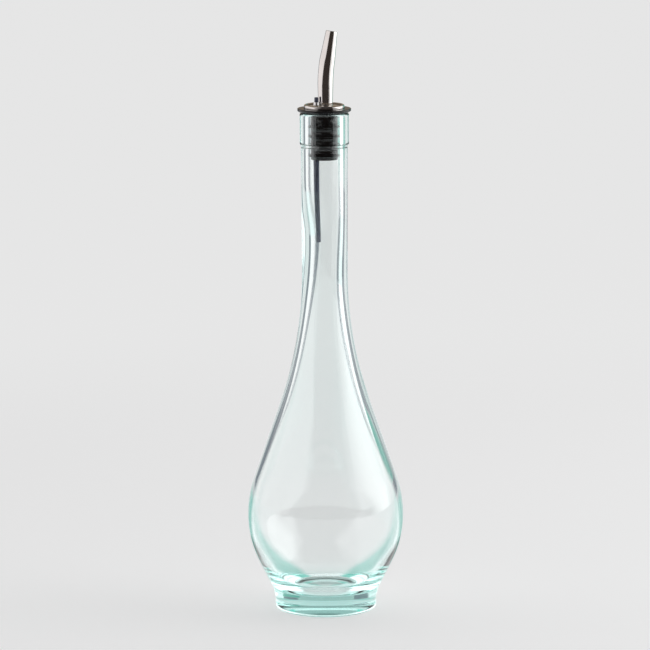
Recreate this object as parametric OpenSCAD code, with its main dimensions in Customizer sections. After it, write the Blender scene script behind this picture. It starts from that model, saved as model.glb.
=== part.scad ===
// Glass oil bottle with a steel pourer.
// The origin is at the centre of the foot, where the glass stands on the table, and +Z runs up the axis.
// The glass is one turned shape. The pourer is a ribbed stopper that carries a steel pouring head,
// and the head holds a thin plastic tube that lets air into the bottle.

/* [Glass outline] */
// Height of the glass, from the table to the lip
bottle_h = 281; // [274:1:296]
// Radius of the round foot
foot_r = 28.5; // [27.5:0.1:29.5]
// Height at which the foot's straight side starts to hollow inwards
foot_h = 3; // [2.5:0.1:4]
// Radius of the hollow arc between the foot and the belly
foot_arc = 24; // [20:0.5:26]
// Radius of the belly at its widest
belly_r = 43.9; // [43:0.1:45]
// Height of the belly's widest ring
belly_z = 54; // [52:0.5:56]
// Radius of the arc that rounds the belly, seen from the side
belly_arc = 61; // [58:0.5:63]
// Radius of the long hollow arc between the shoulder and the neck
shoulder_arc = 226; // [210:1:240]
// Height at which the shoulder has become the neck
neck_z = 192; // [186:1:198]
// Radius of the neck at its foot, where it is narrowest
neck_low_r = 12.75; // [12.5:0.05:13]
// Radius of the neck just under the collar
neck_top_r = 13.05; // [13:0.05:13.3]
// Radius of the collar round the mouth
collar_r = 13.75; // [13.6:0.05:14.5]
// Height of the collar
collar_h = 17.8; // [14:0.1:20]

/* [Glass thickness] */
// Radius of the bore in the neck
bore_r = 9.2; // [9.1:0.05:9.5]
// Thickness of the wall at the belly
belly_wall = 2.3; // [1.8:0.1:3]
// How much lower than outside the shoulder becomes the neck inside: more gives a thicker shoulder
bore_drop = 1; // [0:0.5:4]
// Height of the inner floor at its edge
floor_z = 12.2; // [11:0.1:14]
// Radius of the inner floor
floor_r = 15.5; // [13:0.5:17]
// How far the inner floor rises to its middle
floor_rise = 1.4; // [0.5:0.1:2]
// Radius of the hollow under the foot
punt_r = 21; // [18:0.5:23]
// Depth of the hollow under the foot
punt_depth = 3.6; // [2:0.1:5]

/* [Stopper] */
// Radius of the flange that sits on the lip
flange_r = 15; // [14.5:0.1:16.5]
// Thickness of the flange
flange_t = 2.5; // [2:0.1:3.5]
// Radius of the sleeve between its fins
sleeve_r = 7.5; // [7.4:0.1:8]
// Depth that the sleeve reaches below the lip
sleeve_depth = 25.8; // [24:0.1:32]
// Number of sealing fins
fin_count = 4; // [2:1:5]
// Distance from one fin to the next
fin_pitch = 5.4; // [4:0.1:5.6]
// Gap between a fin's edge and the bore
fin_gap = 0.08; // [0.05:0.01:0.2]

/* [Pouring head] */
// Direction the spout leans, counted from +X towards +Y
aim = 32; // [0:1:359]
// Outer radius of the tube inside the stopper
shank_r = 6.8; // [6.8:0.05:6.9]
// Thickness of the sheet steel
steel_t = 0.5; // [0.3:0.05:0.5]
// Gap between the tube and the stopper, in which the head turns
turn_gap = 0.05; // [0.02:0.01:0.1]
// Radius of the domed cap
cap_r = 11.4; // [11:0.1:12.5]
// Height of the cap's rounded edge
cap_edge = 1.1; // [1.1:0.1:1.5]
// How far the cap's top rises from its edge to its middle
cap_rise = 1; // [0.6:0.1:1.6]
// Distance of the spout's foot from the bottle's axis
spout_shift = 0.85; // [0.8:0.05:1.2]
// Outer radius of the spout's foot
spout_foot_r = 4.1; // [3.9:0.05:4.15]
// Outer radius of the spout at its bend
spout_bend_r = 4.35; // [4.2:0.05:4.5]
// Outer radius of the spout at its tip
spout_tip_r = 3.2; // [2.9:0.05:3.5]
// Height of the bend's start above the lip
bend_z = 15.3; // [13:0.1:20]
// Angle that the spout bends through
bend_angle = 10.5; // [5:0.1:20]
// Radius of the bend, along the middle of the spout
bend_arc = 76; // [60:1:90]
// Length of the spout beyond the bend
spout_reach = 16.1; // [10:0.1:25]

/* [Air tube] */
// Distance of the air tube from the bottle's axis
vent_shift = 5.05; // [5:0.05:5.1]
// Outer radius of the tube just below the stopper
vent_r = 1.55; // [1.4:0.05:1.7]
// Outer radius of the narrower length that runs up through the stopper and the cap
vent_nub_r = 1.17; // [1:0.01:1.2]
// Outer radius of the tube's lower tip
vent_tip_r = 1.2; // [1:0.05:1.4]
// Radius of the air hole
vent_bore_r = 0.6; // [0.5:0.05:0.8]
// Height of the tube's upper end above the lip
vent_top = 8.8; // [8:0.1:10]
// Depth of the tube's tip below the lip
vent_depth = 72; // [50:1:90]
// Lean of the tube towards the axis, below the stopper
vent_lean = 0.5; // [0:0.1:1.5]
// Radius of the ferrule round the tube, at its foot
ferrule_r = 1.7; // [1.5:0.05:1.75]
// Height of the ferrule's top above the lip
ferrule_top = 6.2; // [5.8:0.1:7]

/* [Hidden] */

$fn = 96;
arc_steps = 12;
past = 1;            // how far a cutting shape runs past the face it opens
embed = 0.5;         // how far a joined shape reaches into its neighbour

foot_edge = 1;       // rounding of the foot's lower edge
collar_edge = 0.7;   // rounding under the collar
lip_outer = 1.3;     // rounding of the lip's outer edge
lip_inner = 0.9;     // rounding of the lip's inner edge
inner_belly_r = belly_r - belly_wall;
inner_belly_arc = belly_arc - belly_wall;

fin_tip_t = 0.7;
fin_root_t = 1.6;
flange_seat_r = 13.4;                        // radius of the flange's flat underside
flange_bevel = 1.2;                          // height of the bevel under the flange's edge
flange_edge = 0.4;                           // rounding of the flange's upper edge
sleeve_low_z = bottle_h - sleeve_depth;      // the stopper and the tube inside it end here
fin_low_z = sleeve_low_z + 2.3;              // middle of the lowest fin

head_z = bottle_h + flange_t;                // the steel head sits on the flange
lining_z = head_z + steel_t;                 // top of the lip that holds the tube under the cap
shank_lip_r = cap_r - cap_edge + 0.2;
cap_h = cap_edge + cap_rise;
spout_straight = 3;                          // height of the spout's cylindrical foot
bend_swell = 0.04;                           // how much fuller the bend is than the tapers it joins
ferrule_straight = 2;                        // height of the ferrule's cylindrical foot
ferrule_taper = 0.25;                        // how much thinner the ferrule's top is
tube_step_z = sleeve_low_z - 0.4;            // the air tube widens here and leans below
bore_step = 0.05;                            // how much narrower its hole is below that height

// ---------- outlines ----------

// Points on an arc about [x, z], from angle a to angle b.
function arc(x, z, r, a, b) =
    [for (i = [0:arc_steps]) let (t = a + (b - a) * i / arc_steps) [x + r * cos(t), z + r * sin(t)]];

// Points of a shallow dome, from its top on the axis out to radius run, where it is lower by rise.
function dome(run, top, rise) =
    let (r = (run * run + rise * rise) / (2 * rise))
    arc(0, top - r, r, 90, 90 - asin(run / r));

// Lean from the vertical of the straight line that runs from a bulging arc into a hollow one.
// dx and dz are the distances between the arcs' centres, and reach is the sum of their radii.
function lean(dx, dz, reach) = atan2(dz, dx) - acos(reach / norm([dx, dz]));

// Points up the belly's arc from angle start, then up the straight shoulder and into the neck.
function shoulder(start, belly_r, belly_arc, neck_r, neck_z) =
    let (
        x = belly_r - belly_arc,
        high = lean(neck_r + shoulder_arc - x, neck_z - belly_z, belly_arc + shoulder_arc)
    )
    concat(
        arc(x, belly_z, belly_arc, start, high),
        arc(neck_r + shoulder_arc, neck_z, shoulder_arc, 180 + high, 180)
    );

// The same points without those that repeat the one before.
function distinct(points) =
    [for (i = [0:len(points) - 1]) if (i == 0 || norm(points[i] - points[i - 1]) > 0.01) points[i]];

// ---------- glass ----------

// Lean of the straight lower side that joins the foot's hollow arc to the belly.
foot_lean = lean(foot_r + foot_arc - belly_r + belly_arc, belly_z - foot_h, belly_arc + foot_arc);

// The arc that carries the inner floor's edge up into the belly's inner arc.
bowl_run = floor_r - inner_belly_r + inner_belly_arc;
bowl_drop = belly_z - floor_z;
bowl_arc = (inner_belly_arc * inner_belly_arc - bowl_run * bowl_run - bowl_drop * bowl_drop)
    / (2 * (inner_belly_arc - bowl_drop));
bowl_lean = atan2(bowl_drop - bowl_arc, bowl_run);

module glass_outline() {
    polygon(distinct(concat(
        [[0, 0]],
        arc(foot_r - foot_edge, foot_edge, foot_edge, -90, 0),
        arc(foot_r + foot_arc, foot_h, foot_arc, 180, 180 - foot_lean),
        shoulder(-foot_lean, belly_r, belly_arc, neck_low_r, neck_z),
        [[neck_top_r, bottle_h - collar_h]],
        arc(collar_r - collar_edge, bottle_h - collar_h + collar_edge, collar_edge, -60, 0),
        arc(collar_r - lip_outer, bottle_h - lip_outer, lip_outer, 0, 90),
        [[0, bottle_h]]
    )));
}

module cavity_outline() {
    polygon(distinct(concat(
        dome(floor_r, floor_z + floor_rise, floor_rise),
        arc(floor_r, floor_z + bowl_arc, bowl_arc, -90, -bowl_lean),
        shoulder(-bowl_lean, inner_belly_r, inner_belly_arc, bore_r, neck_z - bore_drop),
        arc(bore_r + lip_inner, bottle_h - lip_inner, lip_inner, 180, 90),
        [[bore_r + lip_inner, bottle_h + past], [0, bottle_h + past]]
    )));
}

module punt_outline() {
    polygon(concat(dome(punt_r, punt_depth, punt_depth), [[punt_r, -past], [0, -past]]));
}

module bottle() {
    color("paleturquoise", 0.4)
        rotate_extrude()
            difference() {
                glass_outline();
                cavity_outline();
                punt_outline();
            }
}

// ---------- stopper ----------

module flange() {
    translate([0, 0, bottle_h])
        rotate_extrude()
            polygon(concat(
                [[0, 0], [flange_seat_r, 0], [flange_r, flange_bevel]],
                arc(flange_r - flange_edge, flange_t - flange_edge, flange_edge, 0, 90),
                [[0, flange_t]]
            ));
}

// A sealing fin: a ring that thins towards its edge.
module fin() {
    rotate_extrude()
        polygon([
            [sleeve_r - embed, -fin_root_t / 2],
            [bore_r - fin_gap, -fin_tip_t / 2],
            [bore_r - fin_gap, fin_tip_t / 2],
            [sleeve_r - embed, fin_root_t / 2]
        ]);
}

module stopper() {
    color("#202124")
        difference() {
            union() {
                flange();
                translate([0, 0, sleeve_low_z]) cylinder(h = sleeve_depth + embed, r = sleeve_r);
                for (i = [0:fin_count - 1])
                    translate([0, 0, fin_low_z + i * fin_pitch]) fin();
            }
            translate([0, 0, sleeve_low_z - past])
                cylinder(h = sleeve_depth + flange_t + 2 * past, r = shank_r + turn_gap);
        }
}

// ---------- pouring head ----------

// Places a piece of the head at x along the direction the spout leans, and at height z.
module on_head(x, z) {
    rotate([0, 0, aim]) translate([x, 0, z]) children();
}

module shank() {
    color("silver")
        difference() {
            union() {
                translate([0, 0, sleeve_low_z]) cylinder(h = lining_z - sleeve_low_z, r = shank_r);
                translate([0, 0, head_z]) cylinder(h = steel_t, r = shank_lip_r);
            }
            translate([0, 0, sleeve_low_z - past])
                cylinder(h = lining_z - sleeve_low_z + 2 * past, r = shank_r - steel_t);
        }
}

// Half of the cap's section, smaller by inset all round.
module cap_outline(inset) {
    polygon(distinct(concat(
        dome(cap_r - cap_edge, cap_h - inset, cap_rise),
        arc(cap_r - cap_edge, 0, cap_edge - inset, 90, 0),
        [[0, 0]]
    )));
}

module cap() {
    color("silver")
        difference() {
            translate([0, 0, head_z])
                rotate_extrude()
                    difference() {
                        cap_outline(0);
                        cap_outline(steel_t);
                    }
            on_head(spout_shift, head_z) cylinder(h = cap_h + past, r = spout_foot_r);
            on_head(-vent_shift, head_z) cylinder(h = cap_h + past, r = ferrule_r);
        }
}

// A rod that follows the spout, thinner by inset all round and longer by extra at both ends.
// Its two tapered lengths reach a little way into the bend between them.
module spout_rod(inset, extra) {
    taper_z = lining_z + spout_straight;
    taper_r = spout_bend_r - bend_swell - inset;
    on_head(spout_shift, lining_z - extra)
        cylinder(h = spout_straight + extra, r = spout_foot_r - inset);
    on_head(spout_shift, taper_z)
        cylinder(h = bottle_h + bend_z + embed - taper_z, r1 = spout_foot_r - inset, r2 = taper_r);
    on_head(spout_shift + bend_arc, bottle_h + bend_z) {
        rotate([90, 0, 0])
            rotate([0, 0, 180 - bend_angle])
                rotate_extrude(angle = bend_angle)
                    translate([bend_arc, 0]) circle(r = spout_bend_r - inset);
        rotate([0, bend_angle, 0])
            translate([-bend_arc, 0, -embed])
                cylinder(h = spout_reach + embed + extra, r1 = taper_r, r2 = spout_tip_r - inset);
    }
}

module spout() {
    color("silver")
        difference() {
            spout_rod(0, 0);
            spout_rod(steel_t, past);
        }
}

module vent_ferrule() {
    cone_h = ferrule_top - flange_t - steel_t - ferrule_straight;
    color("silver")
        on_head(-vent_shift, lining_z)
            difference() {
                union() {
                    cylinder(h = ferrule_straight, r = ferrule_r);
                    translate([0, 0, ferrule_straight])
                        cylinder(h = cone_h, r1 = ferrule_r, r2 = ferrule_r - ferrule_taper);
                }
                translate([0, 0, -past])
                    cylinder(h = ferrule_straight + cone_h + 2 * past, r = vent_nub_r);
            }
}

// The air tube as a rod: a narrow upright length, and below it a wider one that leans and tapers.
// It is longer by extra at both ends.
module air_rod(nub_r, top_r, tip_r, extra) {
    lean_length = tube_step_z - bottle_h + vent_depth;
    on_head(-vent_shift, tube_step_z) {
        translate([0, 0, -embed])
            cylinder(h = bottle_h + vent_top + extra - tube_step_z + embed, r = nub_r);
        rotate([0, -vent_lean, 0])
            translate([0, 0, -lean_length - extra])
                cylinder(h = lean_length + extra, r1 = tip_r, r2 = top_r);
    }
}

module breather_tube() {
    color("#3a3f45")
        difference() {
            air_rod(vent_nub_r, vent_r, vent_tip_r, 0);
            air_rod(vent_bore_r, vent_bore_r - bore_step, vent_bore_r - bore_step, past);
        }
}

bottle();
stopper();
shank();
cap();
spout();
vent_ferrule();
breather_tube();
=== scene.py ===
"""Glass oil bottle with a steel pourer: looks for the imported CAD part."""
import math

import bmesh
import bpy
from mathutils import Matrix, Vector, noise


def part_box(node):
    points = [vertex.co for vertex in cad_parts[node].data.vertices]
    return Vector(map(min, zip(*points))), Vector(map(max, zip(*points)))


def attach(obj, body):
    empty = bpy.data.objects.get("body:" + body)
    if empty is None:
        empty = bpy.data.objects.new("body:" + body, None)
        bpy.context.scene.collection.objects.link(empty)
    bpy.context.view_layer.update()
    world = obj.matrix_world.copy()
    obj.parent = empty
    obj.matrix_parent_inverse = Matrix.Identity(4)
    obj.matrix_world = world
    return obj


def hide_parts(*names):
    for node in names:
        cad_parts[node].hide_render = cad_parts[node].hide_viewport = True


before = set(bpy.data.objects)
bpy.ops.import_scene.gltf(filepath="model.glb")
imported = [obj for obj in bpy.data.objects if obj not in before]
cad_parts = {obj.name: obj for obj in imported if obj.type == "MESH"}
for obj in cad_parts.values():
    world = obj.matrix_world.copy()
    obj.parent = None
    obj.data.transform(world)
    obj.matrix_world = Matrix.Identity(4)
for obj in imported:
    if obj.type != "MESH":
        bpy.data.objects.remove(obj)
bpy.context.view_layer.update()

MM = 0.001
ON_AXIS = 0.001 * MM

# ---------- driving sizes: heights come from the frame, thicknesses are the part's own ----------

glass_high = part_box("bottle")[1]
stopper_low, stopper_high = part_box("stopper")
cap_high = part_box("cap")[1]
tube_low, tube_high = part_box("breather_tube")

LIP_Z = glass_high[2]
BELLY_R = glass_high[0]
FOOT_R = 28.5 * MM
FOOT_H = 3 * MM
FOOT_ARC = 24 * MM
BELLY_Z = 54 * MM
BELLY_ARC = 61 * MM
SHOULDER_ARC = 226 * MM
NECK_Z = 192 * MM
NECK_LOW_R = 12.75 * MM
NECK_TOP_R = 13.05 * MM
COLLAR_R = 13.75 * MM
COLLAR_Z = LIP_Z - 17.8 * MM
BORE_R = 9.2 * MM
WALL = 2.3 * MM
BORE_DROP = 1 * MM
FLOOR_Z = 12.2 * MM
FLOOR_R = 15.5 * MM
FLOOR_RISE = 1.4 * MM
PUNT_R = 21 * MM
PUNT_DEPTH = 3.6 * MM

SLEEVE_Z = stopper_low[2]
HEAD_Z = stopper_high[2]
FLANGE_R = stopper_high[0]
SLEEVE_R = 7.5 * MM
SLEEVE_BORE_R = 6.85 * MM
FIN_R = 9.12 * MM
FIN_COUNT = 4
FIN_PITCH = 5.4 * MM
FIN_LOW_Z = SLEEVE_Z + 2.3 * MM

STEEL = 0.5 * MM
LINING_Z = HEAD_Z + STEEL
SHANK_R = 6.8 * MM
CAP_R = cap_high[0]
CAP_EDGE = 1.1 * MM
CAP_RISE = 1 * MM
AIM = math.radians(32)
SPOUT_SHIFT = 0.85 * MM
SPOUT_FOOT_R = 4.1 * MM
SPOUT_BEND_R = 4.35 * MM
SPOUT_TIP_R = 3.2 * MM
SPOUT_STRAIGHT = 3 * MM
BEND_Z = LIP_Z + 15.3 * MM
BEND_ANGLE = math.radians(10.5)
BEND_ARC = 76 * MM
SPOUT_REACH = 16.1 * MM

VENT_SHIFT = 5.05 * MM
VENT_R = 1.55 * MM
VENT_NUB_R = 1.17 * MM
VENT_TIP_R = 1.2 * MM
VENT_BORE_R = 0.6 * MM
VENT_LEAN = math.radians(0.5)
TUBE_STEP_Z = SLEEVE_Z - 0.4 * MM
FERRULE_R = 1.7 * MM
FERRULE_TOP = LIP_Z + 6.2 * MM


# ---------- camera: the photograph's viewing angle, about 10 degrees down ----------

def make_camera(aim_z, distance, pitch, roll, lens):
    """A camera in front of the bottle that looks down by pitch at its axis, at the height aim_z."""
    data = bpy.data.cameras.new("camera")
    data.lens = lens
    data.sensor_width = 36
    data.clip_end = 100
    camera = bpy.data.objects.new("camera", data)
    bpy.context.scene.collection.objects.link(camera)
    offset = Vector((0, -math.cos(pitch), math.sin(pitch))) * distance
    look = (-offset).to_track_quat("-Z", "Y").to_matrix().to_4x4()
    spot = Matrix.Translation(Vector((0, 0, aim_z)) + offset)
    camera.matrix_world = spot @ look @ Matrix.Rotation(roll, 4, "Z")
    bpy.context.scene.camera = camera


make_camera(
    aim_z=161.4 * MM, distance=2.0685, pitch=math.radians(10.17), roll=math.radians(-0.215), lens=204.6
)


# ---------- outlines ----------

def arc(x, z, r, start, end, step=3.0):
    """Points on an arc about (x, z), from angle start to angle end in radians, about step degrees apart."""
    count = max(3, math.ceil(abs(math.degrees(end - start)) / step))
    angles = [start + (end - start) * i / count for i in range(count + 1)]
    return [(x + r * math.cos(a), z + r * math.sin(a)) for a in angles]


def dome(run, top, rise, step=0.6):
    """Points of a shallow dome, from its top on the axis out to radius run."""
    r = (run * run + rise * rise) / (2 * rise)
    return arc(0, top - r, r, math.pi / 2, math.pi / 2 - math.asin(run / r), step)


def straight(a, b, spacing):
    """Points between a and b, without the two ends."""
    count = max(1, math.ceil(math.dist(a, b) / spacing))
    return [(a[0] + (b[0] - a[0]) * i / count, a[1] + (b[1] - a[1]) * i / count) for i in range(1, count)]


def lean(dx, dz, reach):
    """Lean of the straight line from a bulging arc into a hollow one: reach is the sum of their radii."""
    return math.atan2(dz, dx) - math.acos(reach / math.hypot(dx, dz))


def shoulder(start, belly_r, belly_arc, neck_r, neck_z):
    """Points up the belly's arc from angle start, then up the shoulder and into the neck."""
    x = belly_r - belly_arc
    high = lean(neck_r + SHOULDER_ARC - x, neck_z - BELLY_Z, belly_arc + SHOULDER_ARC)
    bulge = arc(x, BELLY_Z, belly_arc, start, high, 1.5)
    hollow = arc(neck_r + SHOULDER_ARC, neck_z, SHOULDER_ARC, math.pi + high, math.pi, 0.5)
    return bulge + straight(bulge[-1], hollow[0], 2 * MM) + hollow


def distinct(points):
    """The same points without those that repeat the one before."""
    kept = [points[0]]
    for point in points[1:]:
        if math.dist(point, kept[-1]) > 0.01 * MM:
            kept.append(point)
    return kept


def glass_outside():
    """The glass from the middle of the hollow under its foot, up its outside, to the top of its lip."""
    edge = 1 * MM
    lip = 1.3 * MM
    roll = 0.7 * MM
    foot_lean = lean(FOOT_R + FOOT_ARC - BELLY_R + BELLY_ARC, BELLY_Z - FOOT_H, BELLY_ARC + FOOT_ARC)
    punt = dome(PUNT_R, PUNT_DEPTH, PUNT_DEPTH, 1)
    foot = arc(FOOT_R - edge, edge, edge, -math.pi / 2, 0, 10)
    waist = arc(FOOT_R + FOOT_ARC, FOOT_H, FOOT_ARC, math.pi, math.pi - foot_lean, 2)
    body = shoulder(-foot_lean, BELLY_R, BELLY_ARC, NECK_LOW_R, NECK_Z)
    neck_top = (NECK_TOP_R, COLLAR_Z)
    under = arc(COLLAR_R - roll, COLLAR_Z + roll, roll, -math.pi / 3, 0, 10)
    over = arc(COLLAR_R - lip, LIP_Z - lip, lip, 0, math.pi / 2, 6)
    return distinct(
        punt + straight(punt[-1], foot[0], 1.5 * MM) + foot + waist + body
        + straight(body[-1], neck_top, 2 * MM) + [neck_top] + under
        + straight(under[-1], over[0], 2 * MM) + over
    )


def glass_inside():
    """The glass from the top of its lip, down its bore and inner wall, to the middle of its inner floor."""
    lip = 0.9 * MM
    belly_r = BELLY_R - WALL
    belly_arc = BELLY_ARC - WALL
    run = FLOOR_R - belly_r + belly_arc
    drop = BELLY_Z - FLOOR_Z
    bowl_arc = (belly_arc ** 2 - run ** 2 - drop ** 2) / (2 * (belly_arc - drop))
    bowl_lean = math.atan2(drop - bowl_arc, run)
    floor = dome(FLOOR_R, FLOOR_Z + FLOOR_RISE, FLOOR_RISE, 1)
    bowl = arc(FLOOR_R, FLOOR_Z + bowl_arc, bowl_arc, -math.pi / 2, -bowl_lean, 3)
    body = shoulder(-bowl_lean, belly_r, belly_arc, BORE_R, NECK_Z - BORE_DROP)
    mouth = arc(BORE_R + lip, LIP_Z - lip, lip, math.pi, math.pi / 2, 6)
    upward = floor + bowl + body + straight(body[-1], mouth[0], 2 * MM) + mouth
    return distinct(upward)[::-1]


# ---------- meshes ----------

def add_object(name, bm, material):
    mesh = bpy.data.meshes.new(name)
    bmesh.ops.recalc_face_normals(bm, faces=bm.faces)
    bm.to_mesh(mesh)
    bm.free()
    for face in mesh.polygons:
        face.use_smooth = True
    mesh.materials.append(material)
    obj = bpy.data.objects.new(name, mesh)
    bpy.context.scene.collection.objects.link(obj)
    return obj


def skin(bm, rings, closed):
    """Faces between rings of vertices. A ring of one vertex is a pole.
    closed also joins the last ring to the first."""
    pairs = list(zip(rings, rings[1:]))
    if closed:
        pairs.append((rings[-1], rings[0]))
    for low, high in pairs:
        count = max(len(low), len(high))
        for i in range(count):
            corners = []
            for ring, index in ((low, i), (low, i + 1), (high, i + 1), (high, i)):
                vertex = ring[index % len(ring)]
                if vertex not in corners:
                    corners.append(vertex)
            bm.faces.new(corners)


def lathe(name, outline, material, segments=96, centre=(0, 0), shape=None):
    """A solid of revolution about the upright line through centre.
    An outline that starts and ends on the axis is open, any other is a closed loop.
    shape(index, radius, z, angle) may give each point a radius of its own."""
    closed = outline[0][0] >= ON_AXIS
    bm = bmesh.new()
    rings = []
    for index, (r, z) in enumerate(outline):
        if r < ON_AXIS:
            rings.append([bm.verts.new((centre[0], centre[1], z))])
            continue
        ring = []
        for i in range(segments):
            angle = 2 * math.pi * i / segments
            radius = shape(index, r, z, angle) if shape else r
            x = centre[0] + radius * math.cos(angle)
            y = centre[1] + radius * math.sin(angle)
            ring.append(bm.verts.new((x, y, z)))
        rings.append(ring)
    skin(bm, rings, closed)
    return add_object(name, bm, material)


def tube(name, path, material, segments=48):
    """A hollow tube with rounded ends. path lists (centre, direction, outer radius, bore radius)."""
    side = Vector((-math.sin(AIM), math.cos(AIM), 0))
    bm = bmesh.new()

    def ring(centre, direction, radius):
        other = direction.cross(side).normalized()
        spokes = [2 * math.pi * i / segments for i in range(segments)]
        return [bm.verts.new(centre + (side * math.cos(a) + other * math.sin(a)) * radius) for a in spokes]

    def rim(end, outward):
        """Rings round the end of the wall, from just inside the outer face to just inside the bore."""
        centre, direction, outer, bore = end
        half = (outer - bore) / 2
        middle = (outer + bore) / 2
        rings = []
        steps = 8
        for i in range(1, steps):
            a = math.pi * i / steps
            spot = centre + direction * outward * half * (math.sin(a) - 1)
            rings.append(ring(spot, direction, middle + half * math.cos(a)))
        return rings

    def pulled_in(end, outward):
        """The end of the path moved inwards by the rounding of the rim."""
        centre, direction, outer, bore = end
        return (centre - direction * outward * (outer - bore) / 2, direction, outer, bore)

    inner_path = [pulled_in(path[0], -1)] + path[1:-1] + [pulled_in(path[-1], 1)]
    outside = [ring(c, d, outer) for c, d, outer, bore in inner_path]
    inside = [ring(c, d, bore) for c, d, outer, bore in reversed(inner_path)]
    skin(bm, outside + rim(path[-1], 1) + inside + rim(path[0], -1)[::-1], True)
    return add_object(name, bm, material)


def on_head(x, z):
    """The point of the pouring head at x along the direction the spout leans, and at height z."""
    return Vector((x * math.cos(AIM), x * math.sin(AIM), z))


def place(obj, body, slot, node):
    """Makes obj ride on the body and stand for the node, whose CAD part it hides. slot is not used."""
    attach(obj, body)
    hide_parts(node)


# ---------- materials ----------

def new_material(name):
    material = bpy.data.materials.new(name)
    material.use_nodes = True
    nodes = material.node_tree.nodes
    return material, nodes, material.node_tree.links, nodes["Principled BSDF"]


def add_noise(nodes, links, scale, detail=3.0, stretch=(1, 1, 1)):
    """A noise texture fixed to the object, with scale in features per metre."""
    coords = nodes.new("ShaderNodeTexCoord")
    mapping = nodes.new("ShaderNodeMapping")
    mapping.inputs["Scale"].default_value = stretch
    texture = nodes.new("ShaderNodeTexNoise")
    texture.inputs["Scale"].default_value = scale
    texture.inputs["Detail"].default_value = detail
    links.new(coords.outputs["Object"], mapping.inputs["Vector"])
    links.new(mapping.outputs["Vector"], texture.inputs["Vector"])
    return texture.outputs["Fac"]


def spread(nodes, links, value, low, high):
    """value from 0.3..0.7 spread over low..high."""
    node = nodes.new("ShaderNodeMapRange")
    node.inputs["From Min"].default_value = 0.3
    node.inputs["From Max"].default_value = 0.7
    node.inputs["To Min"].default_value = low
    node.inputs["To Max"].default_value = high
    links.new(value, node.inputs["Value"])
    return node.outputs["Result"]


def eased(nodes, links, value, start, end, low=0.0, high=1.0):
    """Eases from low to high while value goes from start to end."""
    node = nodes.new("ShaderNodeMapRange")
    node.interpolation_type = "SMOOTHSTEP"
    node.inputs["From Min"].default_value = start
    node.inputs["From Max"].default_value = end
    node.inputs["To Min"].default_value = low
    node.inputs["To Max"].default_value = high
    links.new(value, node.inputs["Value"])
    return node.outputs["Result"]


def add_ramp(nodes, links, value, low, high):
    """The colour between low and high for value from 0.3 to 0.7."""
    node = nodes.new("ShaderNodeValToRGB")
    node.color_ramp.elements[0].position = 0.3
    node.color_ramp.elements[0].color = (*low, 1)
    node.color_ramp.elements[1].position = 0.7
    node.color_ramp.elements[1].color = (*high, 1)
    links.new(value, node.inputs["Fac"])
    return node.outputs["Color"]


def add_bump(nodes, links, height, distance, shader):
    bump = nodes.new("ShaderNodeBump")
    bump.inputs["Distance"].default_value = distance
    links.new(height, bump.inputs["Height"])
    links.new(bump.outputs["Normal"], shader.inputs["Normal"])


def glass_material():
    material, nodes, links, shader = new_material("glass")
    shader.inputs["Base Color"].default_value = (1, 1, 1, 1)
    shader.inputs["Transmission Weight"].default_value = 1
    shader.inputs["IOR"].default_value = 1.52
    haze = add_noise(nodes, links, 90, 4)
    links.new(spread(nodes, links, haze, 0.0, 0.015), shader.inputs["Roughness"])
    absorption = nodes.new("ShaderNodeVolumeAbsorption")
    absorption.inputs["Color"].default_value = (0.08, 0.84, 0.76, 1)
    absorption.inputs["Density"].default_value = 10.5
    links.new(absorption.outputs["Volume"], nodes["Material Output"].inputs["Volume"])
    return material


def rubber_material():
    material, nodes, links, shader = new_material("stopper_rubber")
    grain = add_noise(nodes, links, 900, 5)
    cloud = add_noise(nodes, links, 160, 3)
    colour = add_ramp(nodes, links, cloud, (0.004, 0.0045, 0.006), (0.008, 0.0085, 0.01))
    links.new(colour, shader.inputs["Base Color"])
    links.new(spread(nodes, links, cloud, 0.1, 0.16), shader.inputs["Roughness"])
    shader.inputs["Specular IOR Level"].default_value = 0.4
    add_bump(nodes, links, grain, 0.012 * MM, shader)
    return material


def steel_material():
    material, nodes, links, shader = new_material("steel")
    shader.inputs["Metallic"].default_value = 1
    polish = add_noise(nodes, links, 500, 4, (1, 1, 6))
    smears = add_noise(nodes, links, 120, 3)
    colour = add_ramp(nodes, links, smears, (0.66, 0.635, 0.61), (0.72, 0.695, 0.67))
    links.new(colour, shader.inputs["Base Color"])
    links.new(spread(nodes, links, polish, 0.07, 0.13), shader.inputs["Roughness"])
    add_bump(nodes, links, polish, 0.004 * MM, shader)
    return material


def ferrule_material():
    material, nodes, links, shader = new_material("ferrule")
    shader.inputs["Metallic"].default_value = 1
    cloud = add_noise(nodes, links, 700, 3)
    colour = add_ramp(nodes, links, cloud, (0.86, 0.86, 0.86), (0.93, 0.93, 0.93))
    links.new(colour, shader.inputs["Base Color"])
    links.new(spread(nodes, links, cloud, 0.42, 0.5), shader.inputs["Roughness"])
    add_bump(nodes, links, cloud, 0.004 * MM, shader)
    return material


def tube_material():
    material, nodes, links, shader = new_material("tube_plastic")
    cloud = add_noise(nodes, links, 300, 3)
    colour = add_ramp(nodes, links, cloud, (0.072, 0.083, 0.13), (0.097, 0.108, 0.165))
    links.new(colour, shader.inputs["Base Color"])
    links.new(spread(nodes, links, cloud, 0.35, 0.5), shader.inputs["Roughness"])
    add_bump(nodes, links, add_noise(nodes, links, 1200, 3), 0.01 * MM, shader)
    return material


# ---------- glass ----------

# The thick places of the blown wall: the side they are on, the height of their middle,
# how far they reach above and below it, and their depth.
THICK_PLACES = (
    (math.pi, 211 * MM, 13 * MM, 24 * MM, 2.4 * MM),
    (0, 190 * MM, 15 * MM, 20 * MM, 0.8 * MM),
    (0, 100 * MM, 30 * MM, 30 * MM, 1.2 * MM),
    (0, 25 * MM, 7 * MM, 7 * MM, 0.9 * MM),
    (math.pi, 26 * MM, 7 * MM, 7 * MM, 0.6 * MM),
)


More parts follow.
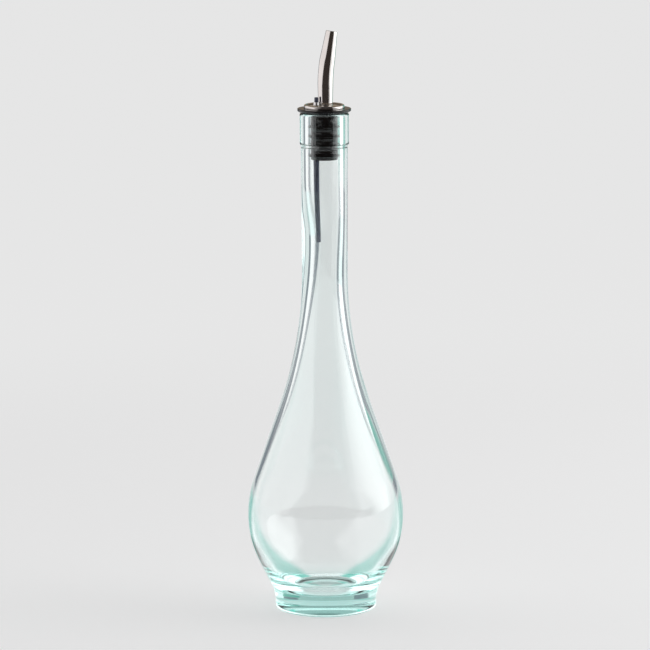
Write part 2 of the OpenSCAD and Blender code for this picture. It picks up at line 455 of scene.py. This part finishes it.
def wall_dent(angle, z, side, middle, above, below, depth):
    """How far one thick place of the wall reaches inwards."""
    reach = above if z > middle else below
    fall = math.exp(-0.5 * ((z - middle) / reach) ** 2)
    facing = (0.5 + 0.5 * math.cos(angle - side)) ** 2
    return depth * fall * facing


def wall_wander(angle, z):
    """How much thicker the blown wall is than its plain outline at this angle and height.
    All of it fades out below the stopper, and the ripple also towards the inner floor."""
    thick = sum(wall_dent(angle, z, *place) for place in THICK_PLACES)
    wave = 35 * MM
    depth = 0.15 * MM
    ripple = noise.noise(Vector((math.cos(angle), math.sin(angle), z / wave))) * depth
    bore_clear = 246 * MM
    floor_clear = 16 * MM
    fade_top = min(1, max(0, (bore_clear - z) / (12 * MM)))
    fade_low = min(1, max(0, (z - floor_clear) / (20 * MM)))
    return (thick + ripple * fade_low) * fade_top


def make_bottle(material):
    outside = glass_outside()
    inside = glass_inside()
    core = 9 * MM

    def shape(index, r, z, angle):
        """Only the inner wall wanders, and less and less inside the radius core."""
        if index < len(outside):
            return r
        return r - wall_wander(angle, z) * min(1, r / core)

    bottle = lathe("bottle_glass", outside + inside, material, 192, shape=shape)
    place(bottle, "bottle", "glass", "bottle")


# ---------- stopper ----------

def fin_outline(z):
    """One sealing fin from its root below to its root above, with a rounded edge."""
    tip = 0.35 * MM
    half_root = 0.7 * MM
    edge = arc(FIN_R - tip, z, tip, -math.pi / 2 + 0.15, math.pi / 2 - 0.15, 15)
    return [(SLEEVE_R, z - half_root)] + edge + [(SLEEVE_R, z + half_root)]


def make_stopper(material):
    edge = 0.4 * MM
    seat_r = 13.4 * MM
    bevel = 1.2 * MM
    outline = arc(SLEEVE_BORE_R + edge, SLEEVE_Z + edge, edge, math.pi, 1.5 * math.pi, 15)
    outline += arc(SLEEVE_R - edge, SLEEVE_Z + edge, edge, -math.pi / 2, 0, 15)
    for i in range(FIN_COUNT):
        outline += fin_outline(FIN_LOW_Z + i * FIN_PITCH)
    outline += [(SLEEVE_R, LIP_Z - 0.6 * MM), (SLEEVE_R + 0.2 * MM, LIP_Z - 0.15 * MM)]
    outline += [(SLEEVE_R + 0.6 * MM, LIP_Z)]
    outline += [(seat_r - 0.3 * MM, LIP_Z), (seat_r, LIP_Z + 0.08 * MM)]
    outline += [(FLANGE_R - 0.1 * MM, LIP_Z + bevel - 0.12 * MM), (FLANGE_R, LIP_Z + bevel)]
    outline += arc(FLANGE_R - edge, HEAD_Z - edge, edge, 0, math.pi / 2, 12)
    outline += [(CAP_R + 1.2 * MM, HEAD_Z), (CAP_R, HEAD_Z), (SLEEVE_BORE_R, HEAD_Z)]
    outline += straight((SLEEVE_BORE_R, HEAD_Z), (SLEEVE_BORE_R, SLEEVE_Z + edge), 3 * MM)
    stopper = lathe("stopper_rubber", distinct(outline), material, 128)
    place(stopper, "stopper", "stopper_rubber", "stopper")


# ---------- pouring head ----------

def cap_top(x, y):
    """Height of the cap's domed face at (x, y)."""
    run = CAP_R - CAP_EDGE
    r = (run * run + CAP_RISE * CAP_RISE) / (2 * CAP_RISE)
    return HEAD_Z + CAP_EDGE + CAP_RISE - r + math.sqrt(r * r - x * x - y * y)


def make_cap(material):
    run = CAP_R - CAP_EDGE
    top = HEAD_Z + CAP_EDGE + CAP_RISE
    curl = STEEL / 2
    outside = dome(run, top, CAP_RISE) + arc(run, HEAD_Z + CAP_EDGE, CAP_EDGE, math.pi / 2, -0.2, 8)
    rim = arc(CAP_R - curl, HEAD_Z + curl, curl, 0, -math.pi, 15)
    inside = arc(run, HEAD_Z + CAP_EDGE, CAP_EDGE - STEEL, 0, math.pi / 2, 15)
    inside += dome(run, top - STEEL, CAP_RISE)[::-1]
    outside = [point for point in outside if point[1] > HEAD_Z + curl]
    inside = [point for point in inside if point[1] > HEAD_Z + curl]
    cap = lathe("cap_steel", distinct(outside + rim + inside), material, 128)
    for x, r in ((SPOUT_SHIFT, SPOUT_FOOT_R), (-VENT_SHIFT, FERRULE_R)):
        drill(cap, on_head(x, HEAD_Z), r)
    place(cap, "pouring_head", "steel", "cap")


def drill(obj, foot, radius):
    """Cuts an upright round hole of that radius through obj, round the point foot."""
    bm = bmesh.new()
    depth = 12 * MM
    bmesh.ops.create_cone(bm, cap_ends=True, segments=64, radius1=radius, radius2=radius, depth=depth)
    bmesh.ops.translate(bm, verts=bm.verts, vec=foot)
    cutter = add_object("cutter", bm, obj.data.materials[0])
    hole = obj.modifiers.new("hole", "BOOLEAN")
    hole.operation = "DIFFERENCE"
    hole.solver = "EXACT"
    hole.object = cutter
    bpy.context.view_layer.objects.active = obj
    obj.select_set(True)
    bpy.ops.object.modifier_apply(modifier=hole.name)
    bpy.data.objects.remove(cutter)


def make_fillet(name, shift, radius, width, material):
    """A bead of solder that runs round the foot of a tube, up from the cap's face."""
    bm = bmesh.new()
    segments = 64
    steps = 6
    sink = 0.1 * MM
    rows = [[] for _ in range(steps + 2)]
    centre = on_head(shift, 0)
    for i in range(segments):
        angle = 2 * math.pi * i / segments
        spoke = Vector((math.cos(angle), math.sin(angle), 0))
        outer = centre + spoke * (radius + width)
        foot = cap_top(outer.x, outer.y)
        for step in range(steps + 1):
            turn = math.pi / 2 * step / steps
            r = radius + width * (1 - math.sin(turn))
            z = foot + width * (1 - math.cos(turn))
            point = centre + spoke * r
            rows[step].append(bm.verts.new((point.x, point.y, z)))
        inner = centre + spoke * (radius - sink)
        rows[-1].append(bm.verts.new((inner.x, inner.y, foot - sink)))
    skin(bm, rows, True)
    fillet = add_object(name, bm, material)
    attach(fillet, "pouring_head")


def spout_path():
    """Centres, directions and radii of the spout, from its foot on the lining to its tip."""
    forward = Vector((math.cos(AIM), math.sin(AIM), 0))
    up = Vector((0, 0, 1))
    taper_z = LINING_Z + SPOUT_STRAIGHT
    foot_steps = 4
    steps = 12
    path = []
    for i in range(foot_steps):
        path.append((on_head(SPOUT_SHIFT, LINING_Z + SPOUT_STRAIGHT * i / foot_steps), up, SPOUT_FOOT_R))
    for i in range(steps):
        part = i / steps
        radius = SPOUT_FOOT_R + (SPOUT_BEND_R - SPOUT_FOOT_R) * part
        path.append((on_head(SPOUT_SHIFT, taper_z + (BEND_Z - taper_z) * part), up, radius))
    for i in range(steps + 1):
        angle = BEND_ANGLE * i / steps
        turn = up * math.cos(angle) + forward * math.sin(angle)
        shift = SPOUT_SHIFT + BEND_ARC * (1 - math.cos(angle))
        path.append((on_head(shift, BEND_Z + BEND_ARC * math.sin(angle)), turn, SPOUT_BEND_R))
    start, turn, _ = path[-1]
    for i in range(1, steps + 1):
        part = i / steps
        radius = SPOUT_BEND_R + (SPOUT_TIP_R - SPOUT_BEND_R) * part
        path.append((start + turn * SPOUT_REACH * part, turn, radius))
    return [(centre, direction, radius, radius - STEEL) for centre, direction, radius in path]


def air_path():
    """Centres, directions and radii of the air tube, from its tip in the bottle to its nub on the cap."""
    forward = Vector((math.cos(AIM), math.sin(AIM), 0))
    up = Vector((0, 0, 1))
    lean_way = up * math.cos(VENT_LEAN) - forward * math.sin(VENT_LEAN)
    step = on_head(-VENT_SHIFT, TUBE_STEP_Z)
    length = (TUBE_STEP_Z - tube_low[2]) / math.cos(VENT_LEAN)
    long_steps = 23
    nub_steps = 12
    path = []
    for i in range(long_steps + 1):
        part = i / long_steps
        radius = VENT_TIP_R + (VENT_R - VENT_TIP_R) * part
        path.append((step - lean_way * length * (1 - part), lean_way, radius))
    narrow_z = TUBE_STEP_Z + 0.15 * MM
    for i in range(nub_steps + 1):
        z = narrow_z + (tube_high[2] - narrow_z) * i / nub_steps
        path.append((on_head(-VENT_SHIFT, z), up, VENT_NUB_R))
    return [(centre, direction, radius, VENT_BORE_R) for centre, direction, radius in path]


def make_ferrule(material):
    edge = 0.15 * MM
    bore = VENT_NUB_R + 0.01 * MM
    top_r = FERRULE_R - 0.25 * MM
    outline = [(bore, LINING_Z)] + [(FERRULE_R, LINING_Z + rise * MM) for rise in range(3)]
    outline += arc(top_r - edge, FERRULE_TOP - edge, edge, 0, math.pi / 2, 15)
    outline += arc(bore + edge, FERRULE_TOP - edge, edge, math.pi / 2, math.pi, 15)
    centre = on_head(-VENT_SHIFT, 0)
    ferrule = lathe("vent_ferrule_steel", distinct(outline), material, 64, (centre.x, centre.y))
    place(ferrule, "pouring_head", "steel", "vent_ferrule")


def make_shank(material):
    edge = 0.2 * MM
    inner = SHANK_R - STEEL
    lip_r = CAP_R - CAP_EDGE + 0.2 * MM
    outline = arc(SHANK_R - edge, SLEEVE_Z + edge, edge, -math.pi / 2, 0, 15)
    outline += straight((SHANK_R, SLEEVE_Z + edge), (SHANK_R, HEAD_Z), 4 * MM)
    outline += [(SHANK_R, HEAD_Z), (lip_r, HEAD_Z), (lip_r, LINING_Z)]
    outline += arc(inner + edge, LINING_Z - edge, edge, math.pi / 2, math.pi, 15)
    outline += straight((inner, LINING_Z - edge), (inner, SLEEVE_Z + edge), 4 * MM)
    outline += arc(inner + edge, SLEEVE_Z + edge, edge, math.pi, 1.5 * math.pi, 15)
    shank = lathe("shank_steel", distinct(outline), material, 96)
    place(shank, "pouring_head", "steel", "shank")


def make_head(steel, plastic):
    make_shank(steel)
    make_cap(steel)
    make_fillet("spout_solder", SPOUT_SHIFT, SPOUT_FOOT_R, 0.45 * MM, steel)
    make_fillet("ferrule_solder", -VENT_SHIFT, FERRULE_R, 0.3 * MM, steel)
    make_ferrule(ferrule_material())
    spout = tube("spout_steel", spout_path(), steel, 64)
    place(spout, "pouring_head", "steel", "spout")
    breather = tube("breather_tube_plastic", air_path(), plastic)
    place(breather, "pouring_head", "tube_plastic", "breather_tube")


# ---------- studio ----------

# The height that the lights and the cards are centred on, the distances from the bottle over which the
# floor's brightness and its strips change, and the glow and the strip colours that are mirrored from it.
STUDIO_Z = 200 * MM
FLOOR_NEAR = 0.4
FLOOR_FAR = 0.9
STRIP_FAR = 0.8
PLAIN_GLOW = 0.53
NEAR_STRIP = (0.08, 0.34, 0.29)
FAR_STRIP = (0.3, 0.32, 0.33)


def combined(nodes, links, operation, first, second):
    """The sum or product of two values, as the operation says."""
    node = nodes.new("ShaderNodeMath")
    node.operation = operation
    links.new(first, node.inputs[0])
    links.new(second, node.inputs[1])
    return node.outputs["Value"]


def blended(nodes, links, factor, low, high):
    """The colour low where factor is 0 and high where it is 1. Each is a colour or a socket of one."""
    node = nodes.new("ShaderNodeMix")
    node.data_type = "RGBA"
    links.new(factor, node.inputs["Factor"])
    for socket, colour in ((node.inputs["A"], low), (node.inputs["B"], high)):
        if isinstance(colour, tuple):
            socket.default_value = (*colour, 1)
        else:
            links.new(colour, socket)
    return node.outputs["Result"]


def softbox(name, azimuth, elevation, distance, width, height, roll, radiance, soft):
    """A rectangular light round the bottle that fades out over the share soft of its size at each edge.
    Azimuth 0 is in front of the bottle and 90 at its right, in degrees."""
    data = bpy.data.lights.new(name, "AREA")
    data.shape = "RECTANGLE"
    data.size = width
    data.size_y = height
    data.energy = radiance * math.pi * width * height
    data.use_nodes = True
    nodes = data.node_tree.nodes
    links = data.node_tree.links
    geometry = nodes.new("ShaderNodeNewGeometry")
    split = nodes.new("ShaderNodeSeparateXYZ")
    links.new(geometry.outputs["Parametric"], split.inputs["Vector"])
    strength = None
    for axis in ("X", "Y"):
        for start in (0, 1):
            fade = eased(nodes, links, split.outputs[axis], start, soft + start * (1 - 2 * soft))
            if strength is None:
                strength = fade
            else:
                strength = combined(nodes, links, "MULTIPLY", strength, fade)
    links.new(strength, nodes["Emission"].inputs["Strength"])
    light = bpy.data.objects.new(name, data)
    bpy.context.scene.collection.objects.link(light)
    a = math.radians(azimuth)
    e = math.radians(elevation)
    offset = Vector((math.sin(a) * math.cos(e), -math.cos(a) * math.cos(e), math.sin(e))) * distance
    look = (-offset).to_track_quat("-Z", "Y").to_matrix().to_4x4()
    spot = Matrix.Translation(Vector((0, 0, STUDIO_Z)) + offset)
    light.matrix_world = spot @ look @ Matrix.Rotation(math.radians(roll), 4, "Z")
    light.visible_camera = False


def card(name, corners, radiance, colour, soft, radius):
    """A sheet bent round the bottle, which glows or is dark and fades out at its edges.
    corners holds the azimuths of its start and end, low down and high up, then its lowest and highest
    elevation, all in degrees; soft is the share of its size over which it fades at each edge."""
    low_start, low_end, high_start, high_end, bottom, top = corners
    steps = 40
    bm = bmesh.new()
    layer = bm.verts.layers.float.new("cover")
    rows = []
    for j in range(steps + 1):
        v = j / steps
        e = math.radians(bottom + (top - bottom) * v)
        start = low_start + (high_start - low_start) * v
        end = low_end + (high_end - low_end) * v
        row = []
        for i in range(steps + 1):
            u = i / steps
            a = math.radians(start + (end - start) * u)
            z = STUDIO_Z + radius * math.tan(e)
            vertex = bm.verts.new((radius * math.sin(a), -radius * math.cos(a), z))
            nearest = min(u, 1 - u, v, 1 - v)
            part = min(1, nearest / soft)
            vertex[layer] = part * part * (3 - 2 * part)
            row.append(vertex)
        rows.append(row)
    for low, high in zip(rows, rows[1:]):
        for i in range(steps):
            bm.faces.new((low[i], low[i + 1], high[i + 1], high[i]))
    sheet = add_object(name, bm, card_material(name, radiance, colour))
    sheet.visible_camera = False
    sheet.visible_diffuse = False
    sheet.visible_shadow = False


def card_material(name, radiance, colour):
    """An even glow, which lets what is behind it show where the sheet's cover is below one."""
    material = bpy.data.materials.new(name)
    material.use_nodes = True
    nodes = material.node_tree.nodes
    links = material.node_tree.links
    nodes.clear()
    cover = nodes.new("ShaderNodeAttribute")
    cover.attribute_name = "cover"
    glow = nodes.new("ShaderNodeEmission")
    glow.inputs["Color"].default_value = (*colour, 1)
    glow.inputs["Strength"].default_value = radiance
    clear = nodes.new("ShaderNodeBsdfTransparent")
    blend = nodes.new("ShaderNodeMixShader")
    output = nodes.new("ShaderNodeOutputMaterial")
    links.new(cover.outputs["Fac"], blend.inputs["Fac"])
    links.new(clear.outputs["BSDF"], blend.inputs[1])
    links.new(glow.outputs["Emission"], blend.inputs[2])
    links.new(blend.outputs["Shader"], output.inputs["Surface"])
    return material


def add_plane(name, corners, material):
    bm = bmesh.new()
    bm.faces.new([bm.verts.new(corner) for corner in corners])
    plane = add_object(name, bm, material)


def floor_material(glow, albedo, far_albedo, lift_share):
    """A pale floor that glows a little, as a lit table does, so that it stays even. Far from the bottle it
    takes less light and glows more, by lift_share of what it loses, so that no bright patch shows beside the
    key light. What the steel and the glass mirror of it is dark straight in front of the bottle and bright to
    either side of that; what shows through the glass has no dark part. Two strips behind are teal near the
    bottle and grey farther off."""
    material, nodes, links, shader = new_material("floor")
    shader.inputs["Roughness"].default_value = 1
    shader.inputs["Specular IOR Level"].default_value = 0
    shader.inputs["Emission Strength"].default_value = 1
    coords = nodes.new("ShaderNodeTexCoord")
    way = nodes.new("ShaderNodeVectorMath")
    way.operation = "NORMALIZE"
    split = nodes.new("ShaderNodeSeparateXYZ")
    links.new(coords.outputs["Object"], way.inputs[0])
    links.new(way.outputs["Vector"], split.inputs["Vector"])
    reach = nodes.new("ShaderNodeVectorMath")
    reach.operation = "LENGTH"
    links.new(coords.outputs["Object"], reach.inputs[0])
    distance = reach.outputs["Value"]
    pale = eased(nodes, links, distance, FLOOR_NEAR, FLOOR_FAR, albedo, far_albedo)
    links.new(pale, shader.inputs["Base Color"])
    lift = eased(nodes, links, distance, FLOOR_NEAR, FLOOR_FAR, 0, lift_share * (albedo - far_albedo))
    paths = nodes.new("ShaderNodeLightPath")
    shown = (glow, glow, glow)
    kinds = (("Is Glossy Ray", 0, (0.82, 0.82, 0.82)), ("Is Transmission Ray", 0.62, (0.68, 0.77, 0.765)))
    for kind, front, side in kinds:
        near = around(nodes, links, split.outputs["Y"], front, side, PLAIN_GLOW, NEAR_STRIP)
        far = around(nodes, links, split.outputs["Y"], front, side, PLAIN_GLOW, FAR_STRIP)
        mirrored = blended(nodes, links, eased(nodes, links, distance, FLOOR_NEAR, STRIP_FAR), near, far)
        shown = blended(nodes, links, paths.outputs[kind], shown, mirrored)
    total = nodes.new("ShaderNodeVectorMath")
    total.operation = "ADD"
    links.new(shown, total.inputs[0])
    links.new(lift, total.inputs[1])
    links.new(total.outputs["Vector"], shader.inputs["Emission Color"])
    return material


def around(nodes, links, back, front, side, plain, strip):
    """The floor's glow by direction: front straight ahead of the bottle, side to either side of that, strip
    in two strips behind those and plain at the back. back runs from -1 in front of the bottle to 1 behind."""
    turned = nodes.new("ShaderNodeMapRange")
    turned.inputs["From Min"].default_value = -1
    turned.inputs["From Max"].default_value = 1
    links.new(back, turned.inputs["Value"])
    levels = nodes.new("ShaderNodeValToRGB")
    ramp = levels.color_ramp
    grey = (plain, plain, plain, 1)
    dark = (front, front, front, 1)
    for element, (position, colour) in zip(ramp.elements, ((0.1, dark), (0.16, (*side, 1)))):
        element.position = position
        element.color = colour
    edges = ((0.855, (*side, 1)), (0.885, (*strip, 1)), (0.95, (*strip, 1)), (0.975, grey))
    for position, colour in edges:
        ramp.elements.new(position).color = colour
    links.new(turned.outputs["Result"], levels.inputs["Fac"])
    return levels.outputs["Color"]


def make_world():
    """Dark in front of the bottle and dim above and behind it: brown in the steel, grey through the glass.
    The camera itself sees it pale all over."""
    world = bpy.data.worlds.new("studio")
    bpy.context.scene.world = world
    world.use_nodes = True
    nodes = world.node_tree.nodes
    links = world.node_tree.links
    nodes.clear()
    coords = nodes.new("ShaderNodeTexCoord")
    split = nodes.new("ShaderNodeSeparateXYZ")
    links.new(coords.outputs["Generated"], split.inputs["Vector"])
    paths = nodes.new("ShaderNodeLightPath")
    pale = (0.56, 0.6, 0.59)
    grey = (0.58, 0.58, 0.58)
    brown = (0.31, 0.26, 0.205)
    dark = (0.03, 0.03, 0.035)
    bright = (0.81, 0.81, 0.81)
    reflected = blended(nodes, links, paths.outputs["Is Glossy Ray"], grey, brown)
    behind = blended(nodes, links, paths.outputs["Is Transmission Ray"], reflected, pale)
    room = blended(nodes, links, eased(nodes, links, split.outputs["Y"], -0.3, 0.2), dark, behind)
    seen = blended(nodes, links, paths.outputs["Is Camera Ray"], room, bright)
    background = nodes.new("ShaderNodeBackground")
    links.new(seen, background.inputs["Color"])
    output = nodes.new("ShaderNodeOutputWorld")
    links.new(background.outputs["Background"], output.inputs["Surface"])


def make_studio():
    """The floor, the world, one soft light, and the cards that draw the bright and dark lines in the glass:
    azimuth 0 is in front of the bottle, and its right is positive."""
    half = 60
    add_plane("floor", [(-half, -half, 0), (half, -half, 0), (half, half, 0), (-half, half, 0)],
              floor_material(glow=0.52, albedo=0.67, far_albedo=0.12, lift_share=0.42))
    dim = (0.2, 0.22, 0.25)
    teal = (0.14, 0.42, 0.36)
    card("front_card", (-85, 60, -40, 48, -12, 30), 1, (0.045, 0.036, 0.032), 0.05, 0.97)
    card("front_low_card", (50, 78, 50, 78, -12, -4.4), 1, (0, 0, 0), 0.1, 0.96)
    card("left_back_card", (-158, -136, -158, -136, -12, 14), 1, dim, 0.1, 0.97)
    card("right_low_card", (136, 158, 136, 158, -12, -4.8), 1, dim, 0.1, 0.97)
    card("right_back_card", (134, 160, 134, 160, -6, 30), 1, teal, 0.1, 0.98)
    card("left_light", (-139, -58, -139, -12, -12, 38), 1.08, (1, 0.96, 0.965), 0.06, 0.9)
    card("right_light", (54, 139, 43, 139, -12, 34), 1.16, (1, 0.985, 0.985), 0.06, 1.3)
    softbox("key_light", 93, 12, 1.15, 0.95, 1.7, 43, 1.4, 0.25)
    make_world()
    scene = bpy.context.scene
    scene.view_settings.view_transform = "Standard"
    scene.cycles.max_bounces = 32
    scene.cycles.transmission_bounces = 24
    scene.cycles.glossy_bounces = 8


make_bottle(glass_material())
make_stopper(rubber_material())
make_head(steel_material(), tube_material())
make_studio()
